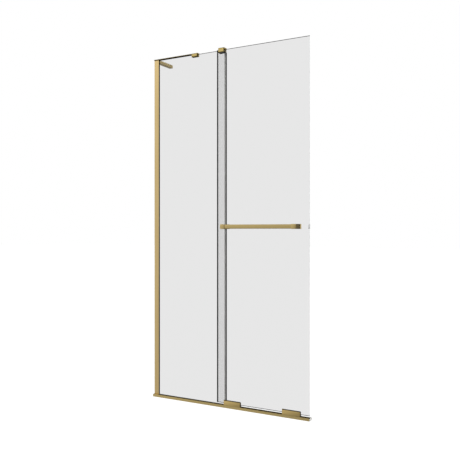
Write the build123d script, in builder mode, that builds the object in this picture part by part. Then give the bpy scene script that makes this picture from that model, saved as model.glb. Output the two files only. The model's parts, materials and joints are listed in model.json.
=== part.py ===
# Sliding walk-in shower screen: a fixed pane in a wall profile and a base track,
# and a sliding pane in front of it on four rollers, held upright by a top guide.
# Frame: origin at the centre of the track's underside, X along the screen away
# from the wall, Y from the room towards the shower, Z up. Millimetres.
import os
from build123d import *

os.makedirs("parts", exist_ok=True)

# Overall
screen_length = 1005.0        # wall face to the outer end of the track
screen_height = 2000.0        # tray to the top edge of the fixed pane

# Glass and what lies between the panes, front to back
glass = 6.0
pane_gap = 8.0                # clear space between the two panes
arris = 1.0                   # polished bevel along the glass edges
fixed_setback = 12.0          # wall to the hidden edge of the fixed pane
pane_overlap = 46.5           # of the two panes when the screen is fully out
sliding_width = 557.5
sliding_end_inset = 4.0       # outer edge of the sliding pane to the end of the track
sliding_foot = 25.0           # tray to the bottom edge of the sliding pane
sliding_top_drop = 2.0        # sliding pane is this much lower than the fixed pane

# Running clearances
running_gap = 0.3             # between bodies that slide or roll past each other
bearing_clearance = 0.05      # radial, axle in bush
fit_clearance = 0.05          # radial or per side, fixed piece in its hole or socket

# Base track
track_height = 14.5
corner_length = 32.0
end_cap_thickness = 2.0
slot_gasket = 2.0
slot_floor = 2.5
setting_strip = 2.5
rear_lip = 2.0
rear_lip_height = 13.5
runway_width = 8.4            # recess in the top of the track that the rollers run in
runway_floor = 9.0
rib_width = 2.5
rib_height = 2.5
peg_radius = 1.5
peg_length = 8.0
infill_wall = 1.2
stop_length = 16.0
stop_height = 4.5
stop_round = 1.0
track_round = 0.6             # along the top front edge
cap_edge = 0.5

# Wall profile
profile_reach = 32.0
profile_wall = 1.5
profile_web = 2.0
channel_start = 8.0           # back of the inner channel, from the wall
channel_reach = 22.0
channel_wall = 1.2
channel_web = 1.5
channel_play = 0.2
profile_gasket = 0.6
profile_round = 0.7
wall_hole_radius = 2.6
wall_hole_spacings = (1700.0, 600.0)
lock_screw_heights = (300.0, 1000.0, 1700.0)
lock_screw_radius = 1.6
lock_head_radius = 3.5
lock_head_height = 1.8
screw_round = 0.8             # along the rim of a round screw head
cross_length = 4.0            # cross slot in a screw head
cross_width = 0.8
cross_depth = 1.0

# Stabiliser on top of the fixed pane
bar_front_overhang = 4.5      # ahead of the wall profile's front face
bar_width = 20.5
bar_thickness = 5.0
bar_round = 2.2               # along the bar's front edges
bar_tab = 15.0                # lap over the wall arm, behind the bar
arm_reach = 22.0              # out from the wall
arm_length = 146.5            # along the wall, from the wall profile's back face
arm_drop = 13.0               # below the bar's underside
arm_rise = 8.0                # above the bar's underside, behind the tab
arm_round = 8.0               # along the arm's upper edge
arm_edge = 1.0
arm_hole_radius = 2.6
arm_hole_spacing = 80.0
arm_hole_inset = 23.5         # outer hole to the arm's free end
lap_screw_radius = 2.0
lap_screw_head = 1.6          # height of the head
lap_screw_margin = 5.0        # arm left under the screw's hole
lap_socket_radius = 1.4
lap_socket_depth = 1.6
clamp_start = 263.5
clamp_length = 41.0
clamp_grip = 13.5             # below the top edge of the fixed pane
clamp_cheek_front = 5.5
clamp_cheek_rear = 12.0
clamp_roof = 6.5
clamp_edge = 3.0
tongue_length = 12.0
tongue_width = 10.0
tongue_thickness = 3.0
pad = 0.5
grub_radius = 2.0
grub_socket_radius = 1.0
grub_socket_depth = 2.0
grub_shares = (0.25, 0.75)    # places of the two grub screws along a clamp

# Top guide
guide_length = 38.0           # back from the fixed pane's free edge
guide_grip = 19.0             # below the top edge of the fixed pane
guide_roof = 8.5
guide_front_cheek = 4.5
guide_rear_cheek = 5.5
guide_edge = 2.5
liner_wall = 1.2
liner_headroom = 3.0          # above the sliding pane's top edge

# Edge seals
seal_wall = 1.0
seal_web = 1.5
seal_leg = 6.5
seal_bulb = 5.5
seal_round = 3.0
lip_top_drop = 25.0           # lip of the sliding seal, below the top edge of the fixed pane
bumper_height = 26.0
bumper_round = 1.0

# Roller carriers on the sliding pane
carrier_length = 104.0
carrier_top = 40.0
carrier_plate_front = 4.5
carrier_plate_back = 4.0
carrier_floor_gap = 0.8       # above the track
carrier_inset_left = 44.5     # sliding pane's inner edge to the left carrier
carrier_inset_right = 51.0    # sliding pane's outer edge to the right carrier
carrier_edge = 0.8
roller_inset = 16.0           # roller centre from the carrier's end
roller_tread = 5.2
roller_flange = 1.5
roller_width = 6.2
tread_width = 3.3
bush_wall = 1.0
axle_radius = 1.5
pocket_gap = 0.5
travel_end_gap = 2.0          # left between the inner seal and the wall profile when fully open
clamp_screw_radius = 2.0
clamp_screw_head = 4.0
clamp_screw_head_height = 2.0
clamp_screw_pitch = 56.0
clamp_screw_edge = 8.0        # below the carrier's top
clamp_socket_radius = 1.5
clamp_socket_depth = 1.2
glass_hole_radius = 4.0
blind_depth = 3.0             # screws' and axles' hold in the cover
axle_seat = 2.5               # axle's hold in the back plate
roller_round = 0.4

# Handle bar
handle_height = 1008.5
handle_reach = 51.0           # glass face to the front of the standoffs
standoff_width = 28.0
standoff_height = 26.0
standoff_edge = 0.8
standoff_inset_left = 48.0    # sliding pane's inner edge to the left standoff
standoff_inset_right = 53.5   # sliding pane's outer edge to the right standoff
bar_height = 23.0
bar_depth = 12.0
bar_setback = 1.5
bar_wall = 1.8
bar_socket = 10.0
bar_corner = 2.0
stud_radius = 3.0
stud_depth_front = 16.0
washer = 0.5
washer_radius = 12.0
handle_hole_radius = 6.0
cap_left = 4.0
cap_right = 16.0
stud_depth_left_cap = 2.5
stud_depth_right_cap = 9.0

# Places worked out from the sizes above, across the screen from the track's front
sliding_face = carrier_plate_front + pad
sliding_back = sliding_face + glass
sliding_mid = sliding_face + glass / 2
fixed_face = sliding_back + pane_gap
fixed_back = fixed_face + glass
fixed_mid = fixed_face + glass / 2
slot_front = fixed_face - slot_gasket
slot_back = fixed_back + slot_gasket
track_depth = slot_back + rear_lip
channel_width = glass + 2 * (profile_gasket + channel_wall)
profile_width = channel_width + 2 * (channel_play + profile_wall)
profile_face = fixed_mid - profile_width / 2
profile_back = fixed_mid + profile_width / 2

# Along the screen from the wall
sliding_end = screen_length - sliding_end_inset
sliding_start = sliding_end - sliding_width
fixed_end = sliding_start + pane_overlap
guide_start = fixed_end - guide_length
track_end = screen_length - end_cap_thickness
carrier_starts = {
    "left": sliding_start + carrier_inset_left,
    "right": sliding_end - carrier_inset_right - carrier_length,
}
standoff_starts = {
    "left": sliding_start + standoff_inset_left,
    "right": sliding_end - standoff_inset_right - standoff_width,
}

# Up from the tray
fixed_foot = slot_floor + setting_strip
sliding_top = screen_height - sliding_top_drop
carrier_foot = track_height + carrier_floor_gap
roller_height = runway_floor + rib_height + running_gap + roller_tread
roller_outer = roller_tread + roller_flange
lip_top = screen_height - lip_top_drop


def at_x(distance):
    """Turn a distance from the wall into the frame's X."""
    return distance - screen_length / 2


def at_y(distance):
    """Turn a distance behind the track's front face into the frame's Y."""
    return distance - track_depth / 2


def across(x):
    """Plane square to the screen's length: sketch in depth and height, extrude away from the wall."""
    return Plane(origin=(at_x(x), at_y(0), 0), x_dir=(0, 1, 0), z_dir=(1, 0, 0))


def level(z):
    """Level plane: sketch in length and depth, extrude up."""
    return Plane(origin=(at_x(0), at_y(0), z), x_dir=(1, 0, 0), z_dir=(0, 0, 1))


def facing(y):
    """Upright plane along the screen: sketch in length and height, extrude towards the room."""
    return Plane(origin=(at_x(0), at_y(y), 0), x_dir=(1, 0, 0), z_dir=(0, -1, 0))


def patch(u, v, mode=Mode.ADD):
    """Rectangle between two pairs of limits in the sketch's own axes."""
    with Locations(((u[0] + u[1]) / 2, (v[0] + v[1]) / 2)):
        Rectangle(u[1] - u[0], v[1] - v[0], mode=mode)


def cut_hole(plane, points, radius, depth):
    """Round holes sunk from a plane at the given points, against the plane's normal."""
    with Locations(*[plane.location * Location((u, v, 0)) for u, v in points]):
        Cylinder(radius, depth, align=(Align.CENTER, Align.CENTER, Align.MAX), mode=Mode.SUBTRACT)


def add_rod(plane, points, radius, length):
    """Round rods raised from a plane at the given points, along the plane's normal."""
    with Locations(*[plane.location * Location((u, v, 0)) for u, v in points]):
        Cylinder(radius, length, align=(Align.CENTER, Align.CENTER, Align.MIN))


def finish(builder, label):
    """Name a finished piece and write it out."""
    builder.part.label = label
    export_step(builder.part, f"parts/{label}.step")


# Base track, cut to fit between the corner block and the end cap
runway_front = sliding_mid - runway_width / 2
runway_back = sliding_mid + runway_width / 2
peg_points = [(runway_front, runway_floor / 2), (runway_back, runway_floor / 2)]

with BuildPart() as base_track:
    with BuildSketch(across(corner_length)):
        patch((0, track_depth), (0, slot_floor))
        patch((0, slot_front), (0, track_height))
        patch((slot_back, track_depth), (0, rear_lip_height))
        patch((runway_front, runway_back), (runway_floor, track_height), Mode.SUBTRACT)
        patch((sliding_mid - rib_width / 2, sliding_mid + rib_width / 2),
              (runway_floor, runway_floor + rib_height))
    extrude(amount=track_end - corner_length)
    front_top = base_track.edges().filter_by(Axis.X).filter_by_position(
        Axis.Y, at_y(0) - 0.1, at_y(0) + 0.1).sort_by(Axis.Z)[-1]
    fillet(front_top, radius=track_round)
    cut_hole(across(track_end), peg_points, peg_radius + fit_clearance, peg_length)
    with Locations(*[across(corner_length).location * Location((u, v, 0)) for u, v in peg_points]):
        Cylinder(peg_radius + fit_clearance, peg_length, mode=Mode.SUBTRACT,
                 align=(Align.CENTER, Align.CENTER, Align.MIN))
finish(base_track, "base_track")

# Corner block at the wall end, slotted for the fixed pane
with BuildPart() as track_corner_block:
    with BuildSketch(across(0)):
        patch((0, track_depth), (0, track_height))
    extrude(amount=corner_length)
    with BuildSketch(level(fixed_foot)):
        patch((fixed_setback - fit_clearance, corner_length),
              (fixed_face - fit_clearance, fixed_back + fit_clearance))
    extrude(amount=track_height, mode=Mode.SUBTRACT)
    front_top = track_corner_block.edges().filter_by(Axis.X).group_by(Axis.Y)[0].sort_by(Axis.Z)[-1]
    fillet(front_top, radius=track_round)
    cut_hole(across(corner_length), peg_points, peg_radius + fit_clearance, peg_length)
finish(track_corner_block, "track_corner_block")

# Dowels that line the corner block up with the track
with BuildPart() as track_dowels:
    add_rod(across(corner_length - peg_length + fit_clearance), peg_points, peg_radius,
            2 * (peg_length - fit_clearance))
finish(track_dowels, "track_dowels")

# End cap with two pegs
with BuildPart() as track_end_cap:
    with BuildSketch(across(track_end)):
        patch((0, track_depth), (0, rear_lip_height))
        patch((0, slot_front), (0, track_height))
    extrude(amount=end_cap_thickness)
    outer_rim = track_end_cap.faces().sort_by(Axis.X)[-1].edges()
    chamfer(outer_rim, length=cap_edge)
    add_rod(across(track_end - peg_length + fit_clearance), peg_points, peg_radius,
            peg_length - fit_clearance)
finish(track_end_cap, "track_end_cap")

# Infill strip in the empty part of the rear slot
with BuildPart() as track_infill:
    with BuildSketch(across(fixed_end + seal_web + seal_bulb)):
        patch((slot_front, slot_back), (slot_floor, rear_lip_height))
        patch((slot_front + infill_wall, slot_back - infill_wall),
              (slot_floor, rear_lip_height - infill_wall), Mode.SUBTRACT)
    extrude(amount=track_end - fixed_end - seal_web - seal_bulb)
finish(track_infill, "track_infill_strip")

# Setting strip under the fixed pane
with BuildPart() as setting_strip_piece:
    with BuildSketch(across(corner_length)):
        patch((fixed_face, fixed_back), (slot_floor, fixed_foot))
    extrude(amount=fixed_end - corner_length)
finish(setting_strip_piece, "glass_setting_strip")

# Gaskets either side of the fixed pane in the track
with BuildPart() as track_gaskets:
    with BuildSketch(across(corner_length)):
        patch((slot_front, fixed_face), (slot_floor, track_height))
        patch((fixed_back, slot_back), (slot_floor, rear_lip_height))
    extrude(amount=fixed_end - corner_length)
finish(track_gaskets, "track_gaskets")

# Rubber stops in the runway, one for each end of the travel
first_roller = carrier_starts["left"] + roller_inset
last_roller = carrier_starts["right"] + carrier_length - roller_inset
slide_travel = sliding_start - seal_web - profile_reach - travel_end_gap
stop_starts = {
    "left": first_roller - roller_outer - slide_travel - running_gap - stop_length,
    "right": last_roller + roller_outer + running_gap,
}
for side, start in stop_starts.items():
    with BuildPart() as roller_stop:
        with BuildSketch(across(start)):
            patch((runway_front + fit_clearance, runway_back - fit_clearance),
                  (runway_floor, runway_floor + stop_height))
            patch((sliding_mid - rib_width / 2 - fit_clearance, sliding_mid + rib_width / 2 + fit_clearance),
                  (runway_floor, runway_floor + rib_height), Mode.SUBTRACT)
        extrude(amount=stop_length)
        top_ends = roller_stop.edges().filter_by(Axis.Y).group_by(Axis.Z)[-1]
        fillet(top_ends, radius=stop_round)
    finish(roller_stop, f"roller_stop_{side}")

# Wall profile, a channel screwed to the wall
profile_height = screen_height - track_height
profile_centre = track_height + profile_height / 2
wall_hole_heights = [profile_centre + sign * gap / 2 for gap in wall_hole_spacings for sign in (-1, 1)]
lock_x = channel_start + channel_reach / 2 + profile_wall

with BuildPart() as wall_profile:
    with BuildSketch(level(track_height)):
        patch((0, profile_reach), (profile_face, profile_back))
        patch((profile_web, profile_reach),
              (profile_face + profile_wall, profile_back - profile_wall), Mode.SUBTRACT)
    extrude(amount=profile_height)
    front_corner = wall_profile.edges().filter_by(Axis.Z).group_by(Axis.Y)[0].sort_by(Axis.X)[-1]
    fillet(front_corner, radius=profile_round)
    cut_hole(across(profile_web), [(fixed_mid, z) for z in wall_hole_heights], wall_hole_radius, profile_web)
    cut_hole(Plane(origin=(at_x(0), at_y(profile_back), 0), x_dir=(-1, 0, 0), z_dir=(0, 1, 0)),
             [(-lock_x, z) for z in lock_screw_heights], lock_screw_radius + fit_clearance, profile_wall)
finish(wall_profile, "wall_profile")

# Inner channel that takes up an uneven wall and holds the fixed pane
channel_face = fixed_mid - channel_width / 2
channel_back = fixed_mid + channel_width / 2
with BuildPart() as profile_channel:
    with BuildSketch(level(track_height)):
        patch((channel_start, channel_start + channel_reach), (channel_face, channel_back))
        patch((channel_start + channel_web, channel_start + channel_reach),
              (channel_face + channel_wall, channel_back - channel_wall), Mode.SUBTRACT)
    extrude(amount=profile_height)
    cut_hole(Plane(origin=(at_x(0), at_y(channel_back), 0), x_dir=(-1, 0, 0), z_dir=(0, 1, 0)),
             [(-lock_x, z) for z in lock_screw_heights], lock_screw_radius + fit_clearance, channel_wall)
finish(profile_channel, "profile_channel")

# Glazing gaskets in the inner channel
with BuildPart() as profile_gaskets:
    with BuildSketch(level(track_height)):
        gasket_x = (channel_start + channel_web, channel_start + channel_reach)
        patch(gasket_x, (fixed_face - profile_gasket, fixed_face))
        patch(gasket_x, (fixed_back, fixed_back + profile_gasket))
    extrude(amount=profile_height)
finish(profile_gaskets, "profile_gaskets")

# Screws that lock the inner channel to the wall profile, from the shower side
lock_reach = profile_wall + channel_play + channel_wall
with BuildPart() as lock_screws:
    outward = Plane(origin=(at_x(0), at_y(profile_back), 0), x_dir=(-1, 0, 0), z_dir=(0, 1, 0))
    lock_points = [(-lock_x, z) for z in lock_screw_heights]
    add_rod(outward, lock_points, lock_head_radius, lock_head_height)
    add_rod(outward.offset(-lock_reach), lock_points, lock_screw_radius, lock_reach)
    fillet(lock_screws.edges().filter_by(GeomType.CIRCLE).group_by(Axis.Y)[-1], radius=screw_round)
    head_face = outward.offset(lock_head_height).location
    with Locations(*[head_face * Location((u, v, 0)) for u, v in lock_points]):
        Box(cross_length, cross_width, 2 * cross_depth, mode=Mode.SUBTRACT)
        Box(cross_width, cross_length, 2 * cross_depth, mode=Mode.SUBTRACT)
finish(lock_screws, "profile_lock_screws")

# Fixed pane
with BuildPart() as fixed_glass:
    with BuildSketch(facing(fixed_back)):
        patch((fixed_setback, fixed_end), (fixed_foot, screen_height))
    extrude(amount=glass)
    free_edge = fixed_glass.faces().filter_by(Axis.X).sort_by(Axis.X)[-1]
    chamfer(free_edge.edges().filter_by(Axis.Z), length=arris)
finish(fixed_glass, "fixed_glass")

# Push-on seal down the free edge of the fixed pane
fixed_seal_foot = track_height + running_gap
fixed_seal_top = screen_height - guide_grip - running_gap
with BuildPart() as fixed_edge_seal:
    with BuildSketch(level(fixed_seal_foot)):
        patch((fixed_end - seal_leg, fixed_end + seal_web),
              (fixed_face - seal_wall, fixed_back + seal_wall))
        patch((fixed_end - seal_leg, fixed_end), (fixed_face, fixed_back), Mode.SUBTRACT)
        patch((fixed_end + seal_web, fixed_end + seal_web + seal_bulb),
              (fixed_face - seal_wall, fixed_back + seal_wall))
    extrude(amount=fixed_seal_top - fixed_seal_foot)
    fillet(fixed_edge_seal.faces().sort_by(Axis.X)[-1].edges().filter_by(Axis.Z), radius=seal_round)
finish(fixed_edge_seal, "fixed_edge_seal")

# Stabiliser bar along the top edge of the fixed pane
bar_face = profile_face - bar_front_overhang
bar_back = bar_face + bar_width
bar_top = screen_height + bar_thickness
tongue_y = (fixed_mid - tongue_width / 2, fixed_mid + tongue_width / 2)
tongue_z = (screen_height + (bar_thickness - tongue_thickness) / 2,
            screen_height + (bar_thickness + tongue_thickness) / 2)
lap_screw_point = (arm_reach / 2, bar_back + bar_tab / 2)
with BuildPart() as stabiliser_bar:
    with BuildSketch(level(screen_height)):
        patch((0, clamp_start), (bar_face, bar_back))
        patch((0, arm_reach), (bar_back, bar_back + bar_tab))
    extrude(amount=bar_thickness)
    fillet(stabiliser_bar.edges().filter_by(Axis.X).group_by(Axis.Y)[0], radius=bar_round)
    with BuildSketch(across(clamp_start)):
        patch(tongue_y, tongue_z)
    extrude(amount=tongue_length)
    cut_hole(level(bar_top), [lap_screw_point], lap_screw_radius + fit_clearance, bar_thickness)
finish(stabiliser_bar, "stabiliser_bar")

# Arm that runs back along the wall under the bar's tab
arm_end = profile_back + arm_length
arm_hole_ys = (arm_end - arm_hole_inset - arm_hole_spacing, arm_end - arm_hole_inset)
arm_foot = screen_height - arm_drop
arm_top = screen_height + arm_rise
lap_screw_grip = arm_drop - lap_screw_margin
with BuildPart() as wall_arm:
    with BuildSketch(Plane(origin=(at_x(0), at_y(0), 0), x_dir=(0, 1, 0), z_dir=(1, 0, 0))):
        patch((profile_back, bar_back + bar_tab), (arm_foot, screen_height))
        patch((bar_back + bar_tab, arm_end), (arm_foot, arm_top))
    extrude(amount=arm_reach)
    room_edges = wall_arm.faces().sort_by(Axis.X)[-1].edges().filter_by(Axis.Y).sort_by(Axis.Z)
    fillet(room_edges[-1], radius=arm_round)
    chamfer(room_edges[0], length=arm_edge)
    arm_holes = [(y, (arm_foot + arm_top) / 2) for y in arm_hole_ys]
    cut_hole(across(arm_reach), arm_holes, arm_hole_radius, arm_reach)
    cut_hole(level(screen_height), [lap_screw_point], lap_screw_radius + fit_clearance, lap_screw_grip)
finish(wall_arm, "stabiliser_wall_arm")

# Screw through the tab into the arm
with BuildPart() as lap_screw:
    add_rod(level(bar_top), [lap_screw_point], lap_screw_radius * 2, lap_screw_head)
    add_rod(level(screen_height - lap_screw_grip + fit_clearance), [lap_screw_point], lap_screw_radius,
            bar_thickness + lap_screw_grip - fit_clearance)
    fillet(lap_screw.edges().filter_by(GeomType.CIRCLE).group_by(Axis.Z)[-1], radius=screw_round)
    cut_hole(level(bar_top + lap_screw_head), [lap_screw_point], lap_socket_radius, lap_socket_depth)
finish(lap_screw, "stabiliser_lap_screw")

# Clamp that holds the bar's end on the fixed pane
clamp_end = clamp_start + clamp_length
clamp_front = fixed_face - clamp_cheek_front
clamp_rear = fixed_back + pad + clamp_cheek_rear
clamp_foot = screen_height - clamp_grip
with BuildPart() as glass_clamp:
    with BuildSketch(across(clamp_start)):
        patch((clamp_front, clamp_rear), (clamp_foot, screen_height + clamp_roof))
        patch((fixed_face - pad, fixed_back + pad), (clamp_foot, screen_height), Mode.SUBTRACT)
    extrude(amount=clamp_length)
    with BuildSketch(across(clamp_start)):
        patch((tongue_y[0] - fit_clearance, tongue_y[1] + fit_clearance),
              (tongue_z[0] - fit_clearance, tongue_z[1] + fit_clearance))
    extrude(amount=tongue_length + fit_clearance, mode=Mode.SUBTRACT)
    chamfer(glass_clamp.faces().sort_by(Axis.Y)[0].edges(), length=clamp_edge)
    rear_plane = Plane(origin=(at_x(0), at_y(clamp_rear), 0), x_dir=(-1, 0, 0), z_dir=(0, 1, 0))
    clamp_grub_points = [(-(clamp_start + clamp_length * share), screen_height - clamp_grip / 2)
                         for share in grub_shares]
    cut_hole(rear_plane, clamp_grub_points, grub_radius + fit_clearance, clamp_rear - fixed_back - pad)
finish(glass_clamp, "glass_clamp")

with BuildPart() as clamp_pads:
    with BuildSketch(across(clamp_start)):
        patch((fixed_face - pad, fixed_face), (clamp_foot, screen_height))
        patch((fixed_back, fixed_back + pad), (clamp_foot, screen_height))
    extrude(amount=clamp_length)
finish(clamp_pads, "glass_clamp_pads")

with BuildPart() as clamp_grubs:
    add_rod(rear_plane.offset(fixed_back + pad - clamp_rear), clamp_grub_points, grub_radius,
            clamp_rear - fixed_back - pad)
    cut_hole(rear_plane, clamp_grub_points, grub_socket_radius, grub_socket_depth)
finish(clamp_grubs, "glass_clamp_grub_screws")

# Top guide that straddles both panes at the fixed pane's free corner
guide_front = sliding_face - running_gap - liner_wall - guide_front_cheek
guide_rear = fixed_back + pad + guide_rear_cheek
guide_foot = screen_height - guide_grip
liner_y = (sliding_face - running_gap - liner_wall, sliding_back + running_gap + liner_wall)
liner_top = sliding_top + liner_headroom + liner_wall
with BuildPart() as top_guide:
    with BuildSketch(across(guide_start)):
        patch((guide_front, guide_rear), (guide_foot, screen_height + guide_roof))
        patch(liner_y, (guide_foot, liner_top), Mode.SUBTRACT)
        patch((fixed_face - pad, fixed_back + pad), (guide_foot, screen_height), Mode.SUBTRACT)
    extrude(amount=guide_length)
    chamfer(top_guide.faces().sort_by(Axis.Y)[0].edges(), length=guide_edge)
    guide_plane = Plane(origin=(at_x(0), at_y(guide_rear), 0), x_dir=(-1, 0, 0), z_dir=(0, 1, 0))
    guide_grub_points = [(-(guide_start + guide_length * share), screen_height - guide_grip / 2)
                         for share in grub_shares]
    cut_hole(guide_plane, guide_grub_points, grub_radius + fit_clearance, guide_rear_cheek)
finish(top_guide, "top_guide")

with BuildPart() as guide_liner:
    with BuildSketch(across(guide_start)):
        patch(liner_y, (guide_foot, liner_top))
        patch((liner_y[0] + liner_wall, liner_y[1] - liner_wall),
              (guide_foot, liner_top - liner_wall), Mode.SUBTRACT)
    extrude(amount=guide_length)
finish(guide_liner, "top_guide_liner")

with BuildPart() as guide_pads:
    with BuildSketch(across(guide_start)):
        patch((fixed_face - pad, fixed_face), (guide_foot, screen_height))
        patch((fixed_back, fixed_back + pad), (guide_foot, screen_height))
    extrude(amount=guide_length)
finish(guide_pads, "top_guide_pads")

with BuildPart() as guide_grubs:
    add_rod(guide_plane.offset(-guide_rear_cheek), guide_grub_points, grub_radius, guide_rear_cheek)
    cut_hole(guide_plane, guide_grub_points, grub_socket_radius, grub_socket_depth)
finish(guide_grubs, "top_guide_grub_screws")

# Sliding pane, drilled for the handle and the carriers
carrier_screw_height = carrier_top - clamp_screw_edge
carrier_screws = {
    side: [(start + carrier_length / 2 + sign * clamp_screw_pitch / 2, carrier_screw_height)
           for sign in (-1, 1)]
    for side, start in carrier_starts.items()
}
handle_points = {
    side: (start + standoff_width / 2, handle_height) for side, start in standoff_starts.items()
}
with BuildPart() as sliding_glass:
    with BuildSketch(facing(sliding_back)):
        patch((sliding_start, sliding_end), (sliding_foot, sliding_top))
    extrude(amount=glass)
    chamfer(sliding_glass.faces().filter_by(Axis.X).edges().filter_by(Axis.Z), length=arris)
    cut_hole(facing(sliding_face), list(handle_points.values()), handle_hole_radius, glass)
    cut_hole(facing(sliding_face), carrier_screws["left"] + carrier_screws["right"],
             glass_hole_radius, glass)
finish(sliding_glass, "sliding_glass")

# Seal on the inner edge of the sliding pane, with a lip that brushes the fixed pane
lip_reach = pane_gap - running_gap
with BuildPart() as sliding_edge_seal:
    with BuildSketch(level(sliding_foot)):
        patch((sliding_start - seal_web, sliding_start + seal_leg),
              (sliding_face - seal_wall, sliding_back + seal_wall))
        patch((sliding_start, sliding_start + seal_leg), (sliding_face, sliding_back), Mode.SUBTRACT)
    extrude(amount=sliding_top - sliding_foot)
    with BuildSketch(level(sliding_foot)):
        patch((sliding_start - seal_web, sliding_start), (sliding_back, sliding_back + lip_reach))
    extrude(amount=lip_top - sliding_foot)
finish(sliding_edge_seal, "sliding_edge_seal")

# Bumper clipped on the outer edge of the sliding pane at the handle's height
with BuildPart() as edge_bumper:
    with BuildSketch(level(handle_height - bumper_height / 2)):
        patch((sliding_end - seal_leg, sliding_end + seal_web),
              (sliding_face - seal_wall, sliding_back + seal_wall))
        patch((sliding_end - seal_leg, sliding_end), (sliding_face, sliding_back), Mode.SUBTRACT)
    extrude(amount=bumper_height)
    fillet(edge_bumper.faces().sort_by(Axis.X)[-1].edges().filter_by(Axis.Z), radius=bumper_round)
finish(edge_bumper, "edge_bumper")

# Handle bar, a flat tube let into the two standoffs
standoff_front = sliding_face - handle_reach
bar_y = (standoff_front + bar_setback, standoff_front + bar_setback + bar_depth)
bar_z = (handle_height - bar_height / 2, handle_height + bar_height / 2)
handle_start = standoff_starts["left"] + standoff_width - bar_socket
handle_end = standoff_starts["right"] + bar_socket
with BuildPart() as handle_bar:
    with BuildSketch(across(handle_start)):
        with Locations(((bar_y[0] + bar_y[1]) / 2, handle_height)):
            RectangleRounded(bar_depth, bar_height, bar_corner)
            Rectangle(bar_depth - 2 * bar_wall, bar_height - 2 * bar_wall, mode=Mode.SUBTRACT)
    extrude(amount=handle_end - handle_start)
finish(handle_bar, "handle_bar")

# Standoffs, one at each end of the bar, with a blind socket for it and a blind hole for the stud
socket_ends = {
    "left": (handle_start - fit_clearance, standoff_starts["left"] + standoff_width),
    "right": (standoff_starts["right"], handle_end + fit_clearance),
}
for side, start in standoff_starts.items():
    with BuildPart() as standoff:
        with BuildSketch(facing(sliding_face - washer)):
            patch((start, start + standoff_width),
                  (handle_height - standoff_height / 2, handle_height + standoff_height / 2))
        extrude(amount=handle_reach - washer)
        chamfer(standoff.faces().sort_by(Axis.Y)[0].edges(), length=standoff_edge)
        with BuildSketch(across(socket_ends[side][0])):
            with Locations(((bar_y[0] + bar_y[1]) / 2, handle_height)):
                RectangleRounded(bar_depth + 2 * fit_clearance, bar_height + 2 * fit_clearance,
                                 bar_corner + fit_clearance)
        extrude(amount=socket_ends[side][1] - socket_ends[side][0], mode=Mode.SUBTRACT)
        stud_mouth = Plane(origin=(at_x(0), at_y(sliding_face - washer), 0),
                           x_dir=(-1, 0, 0), z_dir=(0, 1, 0))
        hole_x, hole_z = handle_points[side]
        cut_hole(stud_mouth, [(-hole_x, hole_z)], stud_radius + fit_clearance, stud_depth_front)
    finish(standoff, f"handle_standoff_{side}")

# Caps behind the glass: a flat one that clears the fixed pane and a thick one that stops against its seal
caps = {"left": (cap_left, stud_depth_left_cap), "right": (cap_right, stud_depth_right_cap)}
for side, (thickness, stud_depth) in caps.items():
    start = standoff_starts[side]
    with BuildPart() as inner_cap:
        with BuildSketch(facing(sliding_back + washer + thickness)):
            patch((start, start + standoff_width),
                  (handle_height - standoff_height / 2, handle_height + standoff_height / 2))
        extrude(amount=thickness)
        chamfer(inner_cap.faces().sort_by(Axis.Y)[-1].edges(), length=standoff_edge)
        cut_hole(facing(sliding_back + washer), [handle_points[side]],
                 stud_radius + fit_clearance, stud_depth)
    finish(inner_cap, f"handle_inner_cap_{side}")

# Studs through the glass that draw each standoff and its cap together
with BuildPart() as handle_studs:
    for side, (thickness, stud_depth) in caps.items():
        stud_back = sliding_back + washer + stud_depth - fit_clearance
        stud_front = sliding_face - washer - stud_depth_front + fit_clearance
        add_rod(facing(stud_back), [handle_points[side]], stud_radius, stud_back - stud_front)
finish(handle_studs, "handle_studs")

# Sleeves in the glass holes and washers on both faces
with BuildPart() as handle_sleeves:
    sleeve_plane = facing(sliding_back)
    add_rod(sleeve_plane, list(handle_points.values()), handle_hole_radius - fit_clearance, glass)
    cut_hole(facing(sliding_face), list(handle_points.values()), stud_radius + fit_clearance, glass)
finish(handle_sleeves, "handle_sleeves")

with BuildPart() as handle_washers:
    for plane_y in (sliding_face, sliding_back + washer):
        add_rod(facing(plane_y), list(handle_points.values()), washer_radius, washer)
    cut_hole(facing(sliding_face - washer), list(handle_points.values()), stud_radius + fit_clearance,
             glass + 2 * washer)
finish(handle_washers, "handle_washers")

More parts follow.
